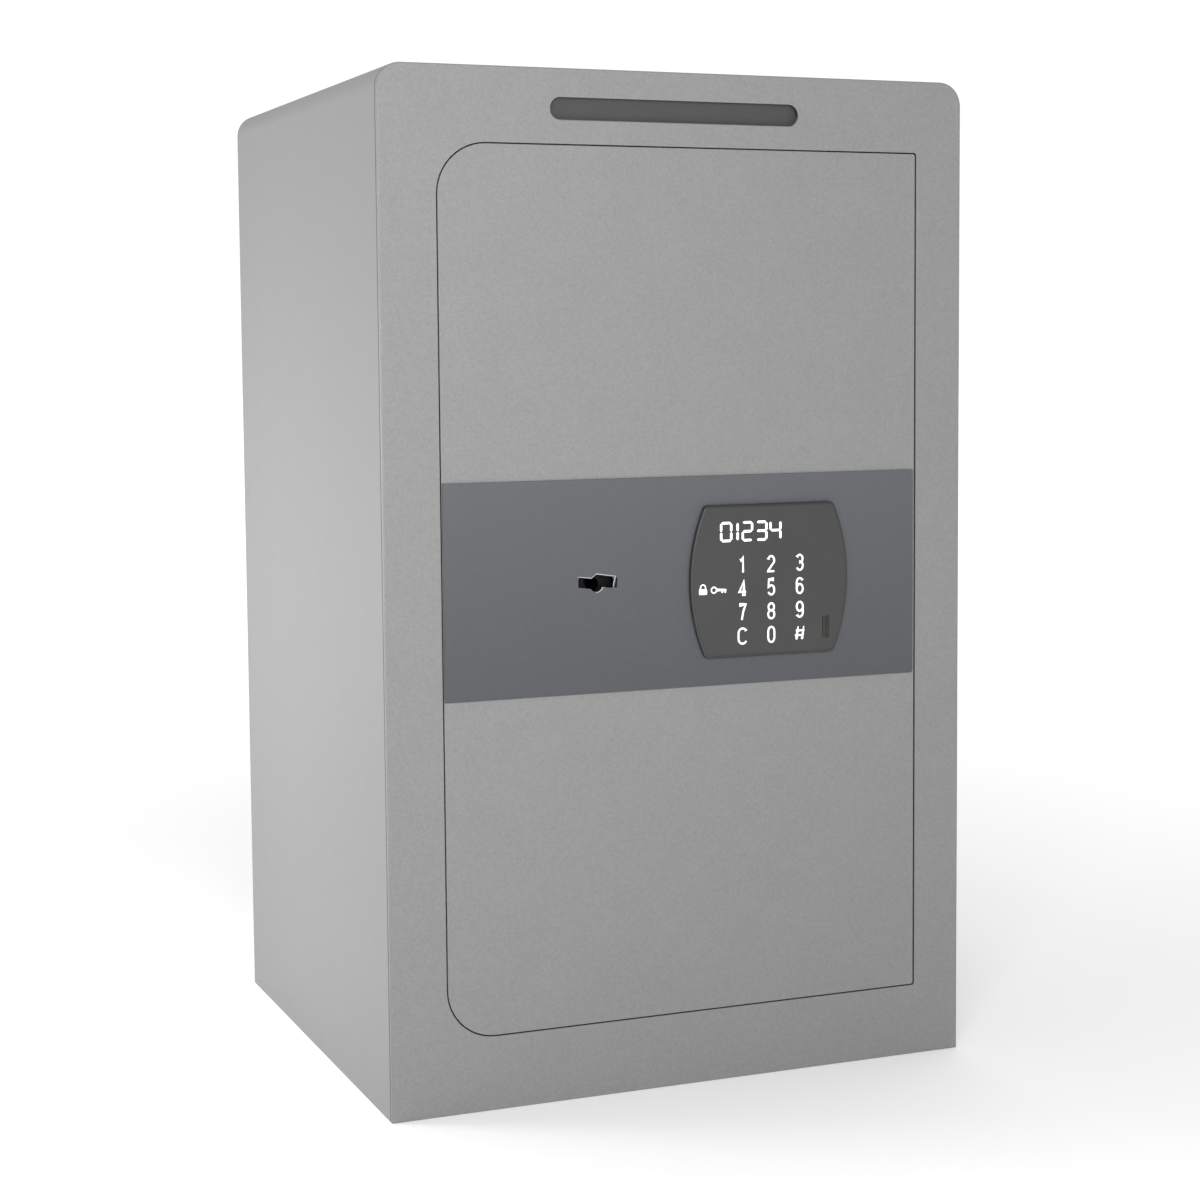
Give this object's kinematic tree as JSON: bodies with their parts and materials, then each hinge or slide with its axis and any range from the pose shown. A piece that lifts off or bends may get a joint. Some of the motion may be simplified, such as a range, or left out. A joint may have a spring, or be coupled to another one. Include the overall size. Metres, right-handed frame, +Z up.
{
  "type": "in room safe",
  "caption": "Upright grey steel hotel room safe with a deposit slot, a flush hinged door with a keypad and emergency key lock, motor-driven round bolts and anchor holes.",
  "frame": {"origin": "centre of the four anchor holes in the underside of the base, which is also the middle of the footprint", "axes": "+Z up, the door and keypad face -Y, +X to the right of a person facing the door"},
  "size_m": [0.37, 0.334, 0.6],
  "materials": {
    "grey_powder_coat": "fine texture, semi-matt",
    "grey_inner_paint": "semi-matt",
    "dark_band_coat": "satin",
    "dark_flap_paint": "matt",
    "keypad_plastic": "fine satin",
    "keypad_film": "matt film",
    "smoked_lens": "gloss",
    "zinc_steel": "bright zinc",
    "bolt_steel": "polished",
    "motor_steel": "brushed",
    "brass": "machined",
    "contact_metal": "plated",
    "circuit_board": "solder mask",
    "black_plastic": "moulded",
    "nylon": "moulded",
    "grey_ribbon": "matt",
    "wire_jacket": "satin",
    "cell_jacket": "printed film",
    "red_button": "moulded",
    "felt": "needled felt"
  },
  "bodies": {
    "body": {"body_wrap": "grey_powder_coat", "back_panel": "grey_powder_coat", "base_plate": "grey_powder_coat", "front_frame": "grey_powder_coat", "left_jamb": "grey_inner_paint", "right_jamb": "grey_inner_paint", "top_jamb": "grey_inner_paint", "bottom_jamb": "grey_inner_paint", "door_stop": "dark_flap_paint", "hinge_sockets": "grey_inner_paint", "hinge_bushes": "brass", "thrust_collar": "brass", "push_off_spring": "zinc_steel", "deposit_chute": "grey_inner_paint", "fishing_comb": "grey_inner_paint", "flap_rod": "zinc_steel", "floor_mat": "felt"},
    "deposit_flap": {"slot_flap": "dark_flap_paint"},
    "door": {"door_plate": "grey_powder_coat", "band_plate": "dark_band_coat", "keypad_housing": "keypad_plastic", "keypad_overlay": "keypad_film", "display_lens": "smoked_lens", "display_module": "smoked_lens", "keypad_pcb": "circuit_board", "port_contacts": "contact_metal", "hinge_brackets": "grey_inner_paint", "hinge_pins": "bolt_steel", "dog_bar": "grey_inner_paint", "bolt_guide": "zinc_steel", "lock_case": "zinc_steel", "lock_case_cover": "zinc_steel", "lever_stump": "zinc_steel", "gear_motor": "motor_steel", "motor_bracket": "zinc_steel", "rack_guide": "nylon", "limit_switches": "black_plastic", "control_board": "circuit_board", "board_standoffs": "brass", "ribbon_cable": "grey_ribbon", "wiring": "wire_jacket", "battery_box": "black_plastic", "battery_contacts": "contact_metal", "batteries": "cell_jacket", "inner_cover": "grey_powder_coat", "cover_screws": "zinc_steel", "battery_bezel": "black_plastic"},
    "bolt_work": {"bolt_bar": "zinc_steel", "live_bolts": "bolt_steel", "rack": "zinc_steel"},
    "motor_pinion": {"drive_pinion": "brass"},
    "key_plug": {"key_rotor": "brass"},
    "levers": {"lever_pack": "brass"},
    "reset_key": {"reset_button": "red_button"},
    "battery_lid": {"battery_cover": "black_plastic"}
  },
  "joints": [
    {"name": "flap_swing", "type": "hinge", "parent": "body", "child": "deposit_flap", "pos_m": [-0.004, -0.1602, 0.586], "axis": [1, 0, 0], "range_deg": [0, 75]},
    {"name": "door_swing", "type": "hinge", "parent": "body", "child": "door", "pos_m": [0.1295, -0.158, 0.3005], "axis": [0, 0, 1], "range_deg": [0, 100]},
    {"name": "bolt_slide", "type": "slide", "parent": "door", "child": "bolt_work", "axis": [-1, 0, 0], "range_m": [0, 0.02]},
    {"name": "pinion_turn", "type": "hinge", "parent": "door", "child": "motor_pinion", "pos_m": [-0.00566, -0.13, 0.30025], "axis": [0, 1, 0], "range_deg": [0, 128]},
    {"name": "key_turn", "type": "hinge", "parent": "door", "child": "key_plug", "pos_m": [-0.0575, -0.13, 0.304], "axis": [0, 1, 0], "range_deg": [0, 90]},
    {"name": "lever_lift", "type": "hinge", "parent": "door", "child": "levers", "pos_m": [-0.0695, -0.148, 0.287], "axis": [0, -1, 0], "range_deg": [0, 3], "stiffness_Nm_per_rad": 0.05, "springref_deg": -2.86},
    {"name": "reset_press", "type": "slide", "parent": "door", "child": "reset_key", "axis": [0, -1, 0], "range_m": [0, 0.002], "stiffness_N_per_m": 400, "springref_m": -0.001},
    {"name": "battery_lid_slide", "type": "slide", "parent": "door", "child": "battery_lid", "axis": [-1, 0, 0], "range_m": [0, 0.07]}
  ],
  "couplings": [
    {"joint": "pinion_turn", "follows": "bolt_slide", "rad_per_m": 111.11},
    {"joint": "key_turn", "follows": "bolt_slide", "rad_per_m": 78.431}
  ]
}
